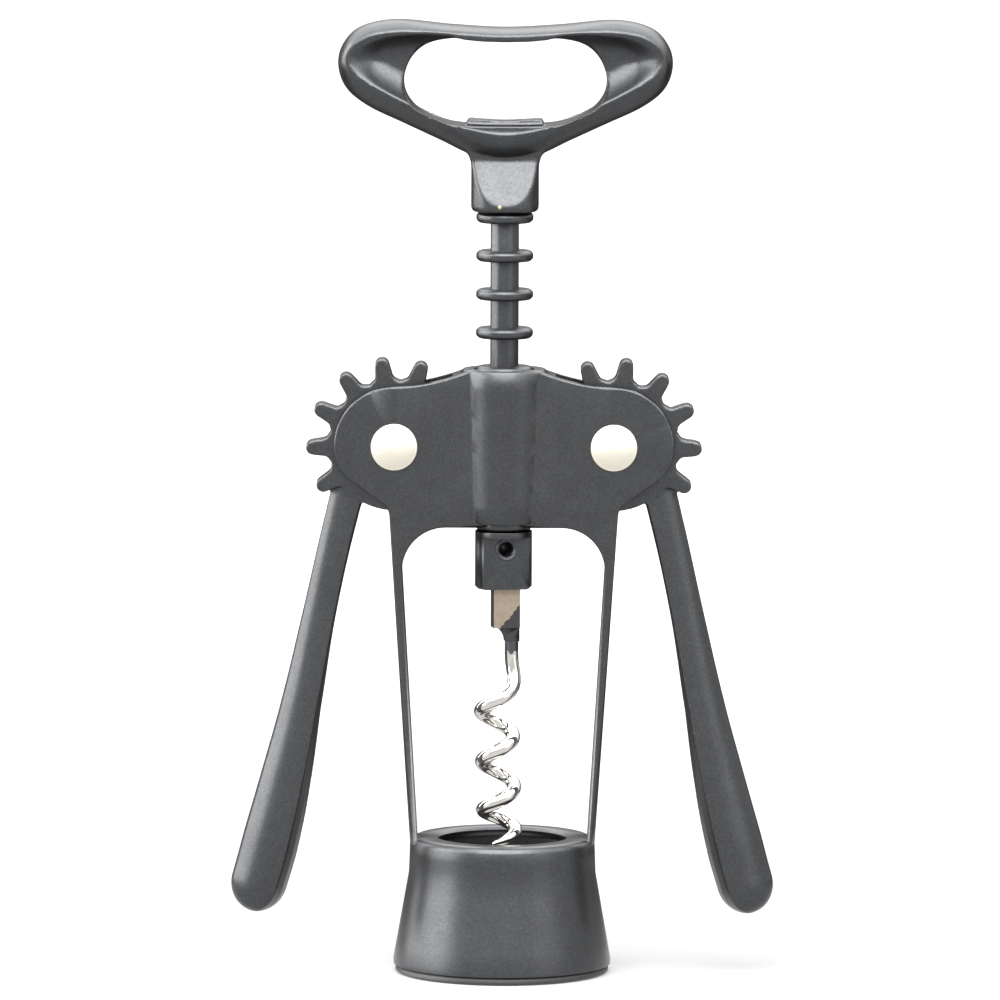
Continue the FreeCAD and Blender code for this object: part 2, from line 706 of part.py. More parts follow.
def hub():
    """Round hub, cut by a ramp in front and behind to the thin neck under the loop."""
    top = LOOP_CREST[-1][1]
    round_hub = Part.makeCylinder(HUB_RADIUS, top, point(0, HUB_BOTTOM))
    lower = [edge for edge in round_hub.Edges
             if edge.BoundBox.ZLength < 1e-4 and edge.BoundBox.ZMin < HUB_BOTTOM + 1]
    round_hub = round_hub.makeChamfer(HUB_BOTTOM_BEVEL, lower)
    ramp_middle = (
        (HUB_RADIUS + NECK_HALF_DEPTH) / 2 - RAMP_SAG,
        HUB_COLLAR + RAMP_MIDDLE_SHARE * (RAMP_TOP - HUB_COLLAR))
    front = [
        (HUB_RADIUS, 0), (HUB_RADIUS, HUB_COLLAR), ramp_middle, (NECK_HALF_DEPTH, RAMP_TOP),
        (NECK_HALF_DEPTH, top),
    ]
    side = [Vector(-HUB_RADIUS, -y, HUB_BOTTOM + z) for y, z in front]
    rear = [Vector(-HUB_RADIUS, y, HUB_BOTTOM + z) for y, z in front]
    profile = Part.Face(Part.Wire([
        line(side[0], side[1]),
        arc(side[1], side[2], side[3]),
        line(side[3], side[4]),
        line(side[4], rear[4]),
        line(rear[4], rear[3]),
        arc(rear[3], rear[2], rear[1]),
        line(rear[1], rear[0]),
        line(rear[0], side[0]),
    ]))
    return round_hub.common(profile.extrude(Vector(2 * HUB_RADIUS, 0, 0)))


def neck():
    """Thin web whose curved sides lead from the hub into the loop's underside."""
    foot = HUB_BOTTOM + WEB_FOOT
    bend = HUB_BOTTOM + (WEB_FOOT + WEB_TOP) / 2 + WEB_BEND_RISE
    top = HUB_BOTTOM + WEB_TOP
    waist = HUB_RADIUS - 0.05
    bend_x = waist + WEB_BEND_SHARE * (WEB_HALF_WIDTH - waist)
    sides = []
    for side in (1, -1):
        sides.append(arc(point(side * waist, foot), point(side * bend_x, bend),
                         point(side * WEB_HALF_WIDTH, top)))
    edges = [
        line(point(-waist, foot), point(waist, foot)),
        sides[0],
        line(point(WEB_HALF_WIDTH, top), point(-WEB_HALF_WIDTH, top)),
        sides[1],
    ]
    return slab(edges, WEB_HALF_DEPTH)


def cap_rest():
    """Straight bar under the loop's top edge, on which a crown cap bears."""
    low = HUB_BOTTOM + LOOP_HOLE[0][1] - CAP_REST_DROP
    high = HUB_BOTTOM + LOOP_CREST[0][1]
    slope = high - low
    edges = [
        line(point(-CAP_REST_HALF + slope, low), point(CAP_REST_HALF - slope, low)),
        line(point(CAP_REST_HALF - slope, low), point(CAP_REST_HALF + slope, high)),
        line(point(CAP_REST_HALF + slope, high), point(-CAP_REST_HALF - slope, high)),
        line(point(-CAP_REST_HALF - slope, high), point(-CAP_REST_HALF + slope, low)),
    ]
    return slab(edges, LOOP_HALF_DEPTH - 0.1)


def opener_tooth():
    """Lip that hooks under the edge of a crown cap."""
    low = HUB_BOTTOM + LOOP_HOLE[-1][1] - 1.0
    high = HUB_BOTTOM + LOOP_HOLE[-1][1] + TOOTH_HEIGHT
    top_half = TOOTH_HALF_WIDTH - TOOTH_END_SLOPE
    edges = [
        line(point(-TOOTH_HALF_WIDTH, low), point(TOOTH_HALF_WIDTH, low)),
        line(point(TOOTH_HALF_WIDTH, low), point(top_half, high)),
        arc(point(top_half, high), point(0, high - TOOTH_DIP), point(-top_half, high)),
        line(point(-top_half, high), point(-TOOTH_HALF_WIDTH, low)),
    ]
    return slab(edges, TOOTH_HALF_DEPTH)


def handle_pin_hole():
    return along_y(HUB_PIN_RADIUS, 0, HUB_BOTTOM + HUB_PIN_HEIGHT, -ROD_RADIUS, HUB_RADIUS)


def handle():
    body = loop().multiFuse([hub(), neck(), cap_rest(), opener_tooth()])
    socket = Part.makeCylinder(ROD_RADIUS, HUB_SOCKET_DEPTH, point(0, HUB_BOTTOM))
    return body.cut(socket).cut(handle_pin_hole())


def handle_pin():
    return handle_pin_hole()


def main():
    os.makedirs("parts", exist_ok=True)
    left = lever_left()
    save("frame", frame())
    save("bell_liner", bell_liner())
    save("lever_left", left)
    save("lever_right", mirrored(left))
    for name, side in (("left", -1), ("right", 1)):
        save("pivot_rivet_" + name, pivot_rivet(side))
        save("pivot_cap_" + name, pivot_cap(side))
    save("rack_sleeve", rack_sleeve())
    save("spindle", spindle())
    save("worm", worm())
    save("worm_pin", worm_pin())
    save("handle", handle())
    save("handle_pin", handle_pin())


main()
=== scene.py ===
import math

import bmesh
import bpy
from mathutils import Matrix, Vector, kdtree


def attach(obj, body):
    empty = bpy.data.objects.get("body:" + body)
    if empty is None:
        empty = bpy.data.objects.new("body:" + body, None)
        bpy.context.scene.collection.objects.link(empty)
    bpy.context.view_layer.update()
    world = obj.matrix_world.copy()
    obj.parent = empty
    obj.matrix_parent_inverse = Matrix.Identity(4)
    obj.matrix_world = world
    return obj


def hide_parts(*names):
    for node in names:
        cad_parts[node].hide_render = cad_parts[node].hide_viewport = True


# Wing corkscrew, in metres, standing on its bell. Z is up and -Y is the front.

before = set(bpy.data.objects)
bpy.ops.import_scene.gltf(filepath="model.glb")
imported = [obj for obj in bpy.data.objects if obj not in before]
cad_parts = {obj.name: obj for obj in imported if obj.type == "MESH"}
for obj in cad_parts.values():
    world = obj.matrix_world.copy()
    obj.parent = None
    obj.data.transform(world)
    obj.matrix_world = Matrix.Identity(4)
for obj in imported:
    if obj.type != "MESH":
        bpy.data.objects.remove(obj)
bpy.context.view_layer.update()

MM = 0.001

# Sizes shared with the solids, in millimetres and degrees
RING_PITCH = 7.24
RING_COUNT = 9
RING_RADIUS = 5.36
RING_THICKNESS = 2.0
RING_CHAMFER = 0.55
SHAFT_RADIUS = 2.66
ROD_BORE = 1.77
BOTTOM_RING_Z = 84.67
SLEEVE_BOTTOM = 83.67
SLEEVE_TOP = 143.59
PIVOT = (20.6, 99.65)
PLATE_FACE = 4.75
REST_ANGLE = 17.4
SECTOR_HALF = 2.5
ROOT_RADIUS = 12.2
TOOTH_COUNT = 9
TEETH_PER_TURN = 13
MESH_ANGLE = 1.7
HUB_BOTTOM = 143.69
HUB_RADIUS = 6.35
HUB_PIN_HEIGHT = 3.6
BLOCK_TURN = 10.0
WIRE_RADIUS = 1.3
TANG_EDGE = 2.9
HELIX_START = 300.0
POINT_TURN = 120.0

# Sizes that follow the photograph more closely than the solids do
BLOCK_BOTTOM = 72.62
BLOCK_DROP = 0.65
DROP_BELOW = 76.0
TANG_LENGTH = 10.0
COLLAR_BORE = 1.75
COLLAR_BOTTOM = 82.3
COLLAR_TOP = SLEEVE_BOTTOM - 0.1
PIN_Z = 80.27
PIN_RIM_RADIUS = 1.9
PIN_RIM_WIRE = 0.16
PIN_RIM_FRONT = 3.33
HELIX_RADIUS = 3.0
HELIX_PITCH = 9.55
HELIX_OFFSET = 1.25
HELIX_TOP = 52.75
HELIX_TURN = 1025.0
HELIX_LEAN = 0.025
FLAT_FROM_TURN = 780.0
FLAT_SHARE = 0.2
POINT_RADIUS = 0.12
TIP_LENGTH = 5.9

# Rivet head: its height is counted from the plate's face
RIVET_RADIUS = 4.4
DOME_RADIUS = 4.02
DOME_RISE = 1.35
DOME_TOP = 1.72
SHANK_RADIUS = 2.2
SHANK_LENGTH = 4.7
RIVET_RIM = [(4.3, -0.02), (4.4, 0.08), (4.4, 0.36), (4.32, 0.5), (4.12, 0.58)]

# Small pale cream spot on the lacquer at the front edge of the hub, in metres
PALE_SPOT = (-0.001, -0.0063, 0.1449)

# Faces that meet at more than this many degrees show an edge
EDGE_ANGLE = 32


# Meshes

def mesh_piece(name, points, faces):
    mesh = bpy.data.meshes.new(name)
    mesh.from_pydata([Vector(p) * MM for p in points], [], faces)
    piece = bpy.data.objects.new(name, mesh)
    bpy.context.scene.collection.objects.link(piece)
    return piece


def skin(rings, closed=False):
    """Points and faces of a tube through rings of equal length, with flat ends unless closed."""
    width = len(rings[0])
    points = [p for ring in rings for p in ring]
    faces = []
    count = len(rings)
    for i in range(count if closed else count - 1):
        j = (i + 1) % count
        for k in range(width):
            n = (k + 1) % width
            faces.append((i * width + k, i * width + n, j * width + n, j * width + k))
    if not closed:
        faces.append(tuple(range(width))[::-1])
        faces.append(tuple((count - 1) * width + k for k in range(width)))
    return points, faces


def lathe(profile, segments):
    """Closed turned shape from a closed profile of (radius, height)."""
    rings = []
    for i in range(segments):
        angle = 2 * math.pi * i / segments
        rings.append([(r * math.cos(angle), r * math.sin(angle), z) for r, z in profile])
    return skin(rings, closed=True)


def rounded(corners, radius, steps=4):
    """Closed polygon with every corner turned to an arc of the radius, or less on short sides."""
    result = []
    count = len(corners)
    for i, corner in enumerate(corners):
        here = Vector(corner)
        before = Vector(corners[i - 1]) - here
        after = Vector(corners[(i + 1) % count]) - here
        reach = min(radius, before.length * 0.45, after.length * 0.45)
        start = here + before.normalized() * reach
        end = here + after.normalized() * reach
        for step in range(steps + 1):
            t = step / steps
            result.append(tuple(start * (1 - t) ** 2 + here * 2 * t * (1 - t) + end * t ** 2))
    return result


def outward(mesh):
    work = bmesh.new()
    work.from_mesh(mesh)
    bmesh.ops.remove_doubles(work, verts=work.verts, dist=1e-7)
    bmesh.ops.recalc_face_normals(work, faces=work.faces)
    work.to_mesh(mesh)
    work.free()


def baked(piece):
    """Applies every modifier, so that the piece is one plain mesh."""
    bpy.context.view_layer.update()
    seen = piece.evaluated_get(bpy.context.evaluated_depsgraph_get())
    mesh = bpy.data.meshes.new_from_object(seen)
    piece.modifiers.clear()
    piece.data = mesh
    return piece


def joined(name, pieces):
    work = bmesh.new()
    for piece in pieces:
        work.from_mesh(piece.data)
        bpy.data.objects.remove(piece)
    mesh = bpy.data.meshes.new(name)
    work.to_mesh(mesh)
    work.free()
    piece = bpy.data.objects.new(name, mesh)
    bpy.context.scene.collection.objects.link(piece)
    return piece


def cast(piece, cell, passes):
    """Melts closed shells into one skin with soft edges, as a die casting under paint has."""
    melt = piece.modifiers.new("melt", "REMESH")
    melt.mode = "VOXEL"
    melt.voxel_size = cell * MM
    relax = piece.modifiers.new("relax", "SMOOTH")
    relax.factor = 0.5
    relax.iterations = passes
    baked(piece)
    piece.data.shade_smooth()
    return piece


def shaded(piece, degrees):
    piece.data.shade_smooth()
    piece.data.set_sharp_from_angle(angle=math.radians(degrees))
    return piece


def copy_of(cad_node, name):
    """Welded copy of a solid, smooth over its curves and sharp at its edges."""
    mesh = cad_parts[cad_node].data.copy()
    mesh.materials.clear()
    work = bmesh.new()
    work.from_mesh(mesh)
    bmesh.ops.remove_doubles(work, verts=work.verts, dist=2e-7)
    work.to_mesh(mesh)
    work.free()
    piece = bpy.data.objects.new(name, mesh)
    bpy.context.scene.collection.objects.link(piece)
    return shaded(piece, EDGE_ANGLE)


def lowered(piece):
    """Moves what lies under the worm's pin down, which lengthens the block."""
    for vertex in piece.data.vertices:
        if vertex.co.z < DROP_BELOW * MM:
            vertex.co.z -= BLOCK_DROP * MM
    return piece


def trimmed(piece, place, normal):
    """Cuts off what lies past a plane, and closes the cut."""
    work = bmesh.new()
    work.from_mesh(piece.data)
    everything = work.verts[:] + work.edges[:] + work.faces[:]
    cut = bmesh.ops.bisect_plane(work, geom=everything, plane_co=Vector(place) * MM,
                                 plane_no=normal, clear_outer=True)
    rim = [e for e in cut["geom_cut"] if isinstance(e, bmesh.types.BMEdge)]
    bmesh.ops.holes_fill(work, edges=rim)
    work.to_mesh(piece.data)
    work.free()
    return shaded(piece, EDGE_ANGLE)


def spindle():
    """Block with two flats under a round collar, and the rod above it."""
    block = lowered(copy_of("spindle", "block"))
    corners = [(COLLAR_BORE, COLLAR_BOTTOM), (RING_RADIUS, COLLAR_BOTTOM),
               (RING_RADIUS, COLLAR_TOP), (COLLAR_BORE, COLLAR_TOP)]
    collar = mesh_piece("collar", *lathe(rounded(corners, 0.2, 3), 96))
    outward(collar.data)
    return shaded(joined("spindle_block", [block, collar]), EDGE_ANGLE)


def pin_rim():
    """Rolled rim at the open front end of the worm's pin, rubbed bright."""
    profile = []
    for step in range(12):
        angle = math.pi * step / 6
        profile.append((PIN_RIM_RADIUS + PIN_RIM_WIRE * math.cos(angle),
                        PIN_RIM_WIRE * math.sin(angle)))
    rim = mesh_piece("pin_rim", *lathe(profile, 48))
    outward(rim.data)
    rim.data.transform(Matrix.Rotation(math.radians(90), 4, "X"))
    rim.data.transform(Matrix.Translation((0, -PIN_RIM_FRONT * MM, PIN_Z * MM)))
    rim.data.transform(Matrix.Rotation(math.radians(BLOCK_TURN), 4, "Z"))
    return shaded(rim, 60)


def rivet_head(name, side, front):
    """Domed head with a small rim, standing on the plate, and its shank."""
    ball = (RIVET_RADIUS ** 2 + DOME_RISE ** 2) / (2 * DOME_RISE)
    dome = []
    for step in range(17):
        r = DOME_RADIUS * step / 16
        dome.append((r, DOME_TOP - ball + math.sqrt(ball ** 2 - r * r)))
    shank = [(0, -SHANK_LENGTH), (SHANK_RADIUS, -SHANK_LENGTH), (SHANK_RADIUS, RIVET_RIM[0][1])]
    head = mesh_piece(name, *lathe(shank + RIVET_RIM + dome[::-1], 72))
    outward(head.data)
    head.data.transform(Matrix.Rotation(math.radians(90 if front else -90), 4, "X"))
    face = -PLATE_FACE if front else PLATE_FACE
    head.data.transform(Matrix.Translation((side * PIVOT[0] * MM, face * MM, PIVOT[1] * MM)))
    return shaded(head, 30)


def dress(piece, material, body, slot, *cad_nodes):
    piece.data.materials.clear()
    piece.data.materials.append(material)
    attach(piece, body)
    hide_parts(*cad_nodes)


# Materials. A Map Range node's inputs 1 and 2 are the values taken, 3 and 4 the values given.

# How fine each pattern is, in cells per metre. Real flakes are a tenth of these 0.24 mm ones,
# which are as coarse as they need to be to show.
FLAKES = 4200.0
CLOUDS = 260.0
ORANGE_PEEL = 700.0
CHROME_HAZE = 700.0
PAINT_RUNS = 800.0
NICKEL_GRAIN = 2500.0
STEEL_GRAIN = 1400.0
TANG_RUNS = 900.0
MOULD_GRAIN = 2200.0


def linear(code):
    """sRGB hex to the linear colour that a shader takes."""
    levels = [int(code[i:i + 2], 16) / 255 for i in (1, 3, 5)]
    return [c / 12.92 if c <= 0.04045 else ((c + 0.055) / 1.055) ** 2.4 for c in levels] + [1.0]


def add(tree, kind, inputs=None, **settings):
    """Adds a node. An input is a value, or the socket that it is linked from."""
    made = tree.nodes.new(kind)
    for name, value in settings.items():
        setattr(made, name, value)
    for name, value in (inputs or {}).items():
        if isinstance(value, bpy.types.NodeSocket):
            tree.links.new(value, made.inputs[name])
        else:
            made.inputs[name].default_value = value
    return made


def new_material(name):
    material = bpy.data.materials.new(name)
    material.use_nodes = True
    tree = material.node_tree
    tree.nodes.clear()
    return material, tree


def graphite_lacquer():
    """Graphite metallic lacquer, sprayed on die-cast zinc: aluminium flakes glint as a fine grain,
    the film has the faint waviness of sprayed paint, and a small pale cream spot marks the hub."""
    material, tree = new_material("graphite_lacquer")
    place = add(tree, "ShaderNodeTexCoord").outputs["Object"]
    flakes = add(tree, "ShaderNodeTexVoronoi", {"Vector": place, "Scale": FLAKES})
    shade = add(tree, "ShaderNodeSeparateColor", {"Color": flakes.outputs["Color"]})
    cloud = add(tree, "ShaderNodeTexNoise", {
        "Vector": place, "Scale": CLOUDS, "Detail": 4.0})
    tone = add(tree, "ShaderNodeMix", {
        0: shade.outputs[0], 6: linear("#444546"), 7: linear("#4f5052")}, data_type="RGBA")
    drift = add(tree, "ShaderNodeMix", {
        0: cloud.outputs["Fac"], 6: linear("#e4e3e2"), 7: linear("#ffffff")}, data_type="RGBA")
    colour = add(tree, "ShaderNodeMix", {
        0: 1.0, 6: tone.outputs[2], 7: drift.outputs[2]}, data_type="RGBA", blend_type="MULTIPLY")
    gloss = add(tree, "ShaderNodeMapRange", {"Value": shade.outputs[1], 3: 0.3, 4: 0.38})
    # Small pale cream spot painted into the lacquer's colour near the hub's front edge
    away = add(tree, "ShaderNodeVectorMath", {0: place, 1: PALE_SPOT}, operation="DISTANCE")
    pale_spot = add(tree, "ShaderNodeMapRange", {
        "Value": away.outputs["Value"], 1: 0.0002, 2: 0.00045, 3: 1.0, 4: 0.0})
    skin_colour = add(tree, "ShaderNodeMix", {
        0: pale_spot.outputs[0], 6: colour.outputs[2], 7: linear("#b0ae80")}, data_type="RGBA")
    peel = add(tree, "ShaderNodeTexNoise", {
        "Vector": place, "Scale": ORANGE_PEEL, "Detail": 2.0})
    bump = add(tree, "ShaderNodeBump", {
        "Height": peel.outputs["Fac"], "Strength": 0.1, "Distance": 0.00006})
    shader = add(tree, "ShaderNodeBsdfPrincipled", {
        "Base Color": skin_colour.outputs[2], "Metallic": 0.92, "Roughness": gloss.outputs[0],
        "Normal": bump.outputs[0]})
    add(tree, "ShaderNodeOutputMaterial", {"Surface": shader.outputs[0]})
    return material


def chromed_steel():
    """Bright chrome plate on steel wire: mirror-like, slightly hazed, with the lacquer that
    overran the wire's upper end."""
    material, tree = new_material("chromed_steel_wire")
    place = add(tree, "ShaderNodeTexCoord").outputs["Object"]
    haze = add(tree, "ShaderNodeTexNoise", {
        "Vector": place, "Scale": CHROME_HAZE, "Detail": 4.0})
    gloss = add(tree, "ShaderNodeMapRange", {"Value": haze.outputs["Fac"], 3: 0.05, 4: 0.13})
    tone = add(tree, "ShaderNodeMix", {
        0: haze.outputs["Fac"], 6: linear("#bebbb5"), 7: linear("#cfcdc9")}, data_type="RGBA")
    spot = add(tree, "ShaderNodeSeparateXYZ", {"Vector": place})
    ragged = add(tree, "ShaderNodeTexNoise", {
        "Vector": place, "Scale": PAINT_RUNS, "Detail": 4.0})
    edge = add(tree, "ShaderNodeMath", {
        0: ragged.outputs["Fac"], 1: -0.004, 2: spot.outputs["Z"]}, operation="MULTIPLY_ADD")
    paint = add(tree, "ShaderNodeMapRange", {"Value": edge.outputs[0], 1: 0.0584, 2: 0.0586})
    colour = add(tree, "ShaderNodeMix", {
        0: paint.outputs[0], 6: tone.outputs[2], 7: linear("#4d4e52")}, data_type="RGBA")
    rough = add(tree, "ShaderNodeMix", {0: paint.outputs[0], 2: gloss.outputs[0], 3: 0.4})
    shader = add(tree, "ShaderNodeBsdfPrincipled", {
        "Base Color": colour.outputs[2], "Metallic": 1.0, "Roughness": rough.outputs[0]})
    add(tree, "ShaderNodeOutputMaterial", {"Surface": shader.outputs[0]})
    return material


def nickel_plate():
    """Satin nickel plate on the pressed rivet heads: pearly, a little warm."""
    material, tree = new_material("satin_nickel")
    place = add(tree, "ShaderNodeTexCoord").outputs["Object"]
    grain = add(tree, "ShaderNodeTexNoise", {
        "Vector": place, "Scale": NICKEL_GRAIN, "Detail": 3.0})
    gloss = add(tree, "ShaderNodeMapRange", {"Value": grain.outputs["Fac"], 3: 0.42, 4: 0.52})
    tone = add(tree, "ShaderNodeMix", {
        0: grain.outputs["Fac"], 6: linear("#d3cebf"), 7: linear("#dcd8cb")}, data_type="RGBA")
    shader = add(tree, "ShaderNodeBsdfPrincipled", {
        "Base Color": tone.outputs[2], "Metallic": 1.0, "Roughness": gloss.outputs[0]})
    add(tree, "ShaderNodeOutputMaterial", {"Surface": shader.outputs[0]})
    return material


def bare_steel():
    """Bare, slightly oxidised steel of the wire's flattened end, with lacquer that has run
    down over its lower half, and painted shade in the lacquer's colour on its left side."""
    material, tree = new_material("bare_steel_with_overspray")
    place = add(tree, "ShaderNodeTexCoord").outputs["Object"]
    grain = add(tree, "ShaderNodeTexNoise", {
        "Vector": place, "Scale": STEEL_GRAIN, "Detail": 4.0})
    steel = add(tree, "ShaderNodeMix", {
        0: grain.outputs["Fac"], 6: linear("#837669"), 7: linear("#9f9383")}, data_type="RGBA")
    spot = add(tree, "ShaderNodeSeparateXYZ", {"Vector": place})
    ragged = add(tree, "ShaderNodeTexNoise", {
        "Vector": place, "Scale": TANG_RUNS, "Detail": 5.0})
    slant = add(tree, "ShaderNodeMath", {
        0: spot.outputs["X"], 1: 1.2, 2: 0.0645}, operation="MULTIPLY_ADD")
    edge = add(tree, "ShaderNodeMath", {
        0: ragged.outputs["Fac"], 1: 0.003, 2: slant.outputs[0]}, operation="MULTIPLY_ADD")
    below = add(tree, "ShaderNodeMath", {
        0: edge.outputs[0], 1: spot.outputs["Z"]}, operation="SUBTRACT")
    paint = add(tree, "ShaderNodeMapRange", {"Value": below.outputs[0], 1: 0.0, 2: 0.0003})
    # Painted shade: faces whose normal points to -X, the left side, get the dark lacquer colour
    face = add(tree, "ShaderNodeSeparateXYZ", {
        "Vector": add(tree, "ShaderNodeNewGeometry").outputs["Normal"]})
    side = add(tree, "ShaderNodeMapRange", {"Value": face.outputs["X"], 1: -0.5, 2: -0.8})
    overspray_and_painted_shade = add(tree, "ShaderNodeMath", {
        0: paint.outputs[0], 1: side.outputs[0]}, operation="MAXIMUM")
    colour = add(tree, "ShaderNodeMix", {
        0: overspray_and_painted_shade.outputs[0], 6: steel.outputs[2], 7: linear("#3f3d3e")}, data_type="RGBA")
    gloss = add(tree, "ShaderNodeMapRange", {"Value": grain.outputs["Fac"], 3: 0.35, 4: 0.55})
    shader = add(tree, "ShaderNodeBsdfPrincipled", {
        "Base Color": colour.outputs[2], "Metallic": 0.85, "Roughness": gloss.outputs[0]})
    add(tree, "ShaderNodeOutputMaterial", {"Surface": shader.outputs[0]})
    return material


def black_abs():
    """Black ABS, moulded with a fine matt grain."""
    material, tree = new_material("black_abs")
    place = add(tree, "ShaderNodeTexCoord").outputs["Object"]
    grain = add(tree, "ShaderNodeTexNoise", {
        "Vector": place, "Scale": MOULD_GRAIN, "Detail": 3.0})
    tone = add(tree, "ShaderNodeMix", {
        0: grain.outputs["Fac"], 6: linear("#19191b"), 7: linear("#242427")}, data_type="RGBA")
    bump = add(tree, "ShaderNodeBump", {
        "Height": grain.outputs["Fac"], "Strength": 0.2, "Distance": 0.00005})
    shader = add(tree, "ShaderNodeBsdfPrincipled", {
        "Base Color": tone.outputs[2], "Roughness": 0.48, "Normal": bump.outputs[0]})
    add(tree, "ShaderNodeOutputMaterial", {"Surface": shader.outputs[0]})
    return material


graphite = graphite_lacquer()
chrome = chromed_steel()
nickel = nickel_plate()
steel = bare_steel()
plastic = black_abs()


# Handle: the right half of each outline from the top centre to the bottom centre, as half
# width and height above the hub's lower edge

LOOP_OUTER = [
    (0, 34.6), (10, 35.1), (20.5, 36.0), (27.3, 34.5), (30.6, 31.0), (31.3, 27.0), (29.7, 22.9),
    (25.6, 19.6), (18.8, 16.4), (12.3, 13.4), (6.3, 10.6), (0, 9.4),
]
LOOP_CREST = [
    (0, 33.5), (8.8, 33.9), (17, 34.2), (24.0, 33.6), (28.4, 31.6), (29.8, 28.5), (27.8, 25.4),
    (21.8, 21.9), (15.5, 18.8), (10, 16.4), (5, 14.8), (0, 14.2),
]
LOOP_HOLE = [
    (0, 32.6), (5.5, 32.8), (10.5, 32.9), (14.8, 31.8), (17.6, 29.4), (19.1, 26.0), (19.0, 22.6),
    (17.2, 19.6), (13.6, 17.4), (9.5, 16.3), (5, 15.9), (0, 15.8),
]


LOOP_CENTRE = Vector((0, 24.2))
LOOP_HALF_DEPTH = 6.5
CREST_IN = 0.5
HOLE_IN = 0.3

# The scoop in the loop's front and rear: how deep it gets, at how much inside the crest
SCOOP_DEPTH = 4.0
SCOOP_WIDTH = 5.5

BARREL_STEPS = 8
SCOOP_STEPS = 12
CREST_PASSES = 5

# Half depth of the hub at heights above its lower edge
RAMP = [(1.3, 6.35), (9.6, 2.7), (15.0, 2.5)]
HUB_HEIGHTS = [0, 0.25, 0.5, 0.9, 1.2] + [1.2 + 0.3 * i for i in range(1, 45)]
HUB_EDGE = 0.5
HUB_ROUNDNESS = 0.76
FLARE_START = 8.0
FLARE_HEIGHT = 6.4
FLARE_WIDTH = 5.2

# Bar that rests on a crown cap, and the lip that hooks under it
REST_OUTLINE = [(-9.8, 33.0), (-7.5, 32.45), (-4.0, 32.15), (0, 32.05), (4.0, 32.15),
                (7.5, 32.45), (9.8, 33.0), (10.5, 33.5), (-10.5, 33.5)]
REST_HALF_DEPTH = 6.2
LIP_OUTLINE = [(-8.0, 14.8), (8.0, 14.8), (6.9, 17.6), (3.4, 17.3), (0, 17.2), (-3.4, 17.3),
               (-6.9, 17.6)]
LIP_HALF_DEPTH = 1.3


def catmull(a, b, c, d, t):
    """Point between b and c on the smooth curve through a, b, c and d."""
    return 0.5 * (2 * b + (c - a) * t + (2 * a - 5 * b + 4 * c - d) * t * t
                  + (3 * b - a - 3 * c + d) * t ** 3)


def closed_curve(half, steps):
    """Smooth closed curve of points (x, z) through an outline and its mirror image."""
    knots = [Vector(p) for p in half]
    knots += [Vector((-p.x, p.y)) for p in knots[1:-1]][::-1]
    count = len(knots)
    result = []
    for i in range(count):
        stops = [knots[(i + k - 1) % count] for k in range(4)]
        for step in range(steps):
            result.append(catmull(*stops, step / steps))
    return result


def inwards(points, distance):
    """Moves points of an outline towards the middle of the loop."""
    return [p + (LOOP_CENTRE - p).normalized() * distance for p in points]


def handle_loop():
    """Opener loop: barrel-shaped outside, scooped towards the hole from front and rear."""
    outer, crest, hole = [closed_curve(h, 8) for h in (LOOP_OUTER, LOOP_CREST, LOOP_HOLE)]
    edge = inwards(closed_curve(LOOP_CREST, 40), CREST_IN)
    near = kdtree.KDTree(len(edge))
    for i, p in enumerate(edge):
        near.insert((p.x, p.y, 0), i)
    near.balance()
    softened = range(BARREL_STEPS - 3, BARREL_STEPS + 5)
    rings = []
    for o, c, rim, h in zip(outer, crest, inwards(crest, CREST_IN), inwards(hole, HOLE_IN)):
        half = []
        for step in range(BARREL_STEPS + 1):
            t = step / BARREL_STEPS
            bulge = 1 - t * t
            half.append((c + (o - c) * bulge, LOOP_HALF_DEPTH * t))
        for step in range(1, SCOOP_STEPS + 1):
            share = 1 - step / SCOOP_STEPS
            p = h + (rim - h) * share
            inside = min(1.0, near.find((p.x, p.y, 0))[2] / SCOOP_WIDTH)
            half.append((p, LOOP_HALF_DEPTH - SCOOP_DEPTH * (1 - (1 - inside) ** 2)))
        for _ in range(CREST_PASSES):
            soft = [(half[k - 1][0] + half[k][0] * 2 + half[k + 1][0]) / 4 for k in softened]
            deep = [(half[k - 1][1] + half[k][1] * 2 + half[k + 1][1]) / 4 for k in softened]
            half[softened.start:softened.stop] = list(zip(soft, deep))
        front = [(p.x, -y, p.y + HUB_BOTTOM) for p, y in half]
        rear = [(p.x, y, p.y + HUB_BOTTOM) for p, y in half[1:]][::-1]
        rings.append(front + rear)
    return mesh_piece("loop", *skin(rings, closed=True))


def ramp_depth(height):
    """Half depth of the hub, which a ramp in front and behind leads up to the thin neck."""
    for (low, wide), (high, narrow) in zip(RAMP, RAMP[1:]):
        if height <= high:
            return wide + (narrow - wide) * max(0.0, height - low) / (high - low)
    return RAMP[-1][1]


def handle_hub():
    """Squarish round hub, cut by a ramp in front and behind, and the neck's flare."""
    rings = []
    for h in HUB_HEIGHTS:
        width = HUB_RADIUS - max(0.0, HUB_EDGE - h)
        depth = min(width, ramp_depth(h))
        if h > FLARE_START:
            width = HUB_RADIUS + FLARE_WIDTH * ((h - FLARE_START) / FLARE_HEIGHT) ** 2.4
        ring = []
        for k in range(96):
            angle = 2 * math.pi * k / 96
            x = math.copysign(abs(math.cos(angle)) ** HUB_ROUNDNESS, math.cos(angle))
            y = math.copysign(abs(math.sin(angle)) ** HUB_ROUNDNESS, math.sin(angle))
            y *= min(width, HUB_RADIUS)
            ring.append((width * x, max(-depth, min(depth, y)), HUB_BOTTOM + h))
        rings.append(ring)
    return mesh_piece("hub", *skin(rings))


def bar(name, outline, half_depth):
    """Straight bar with an outline of (x, height above the hub's lower edge)."""
    rings = []
    for y in (-half_depth, half_depth):
        rings.append([(x, y, HUB_BOTTOM + z) for x, z in outline])
    return mesh_piece(name, *skin(rings))


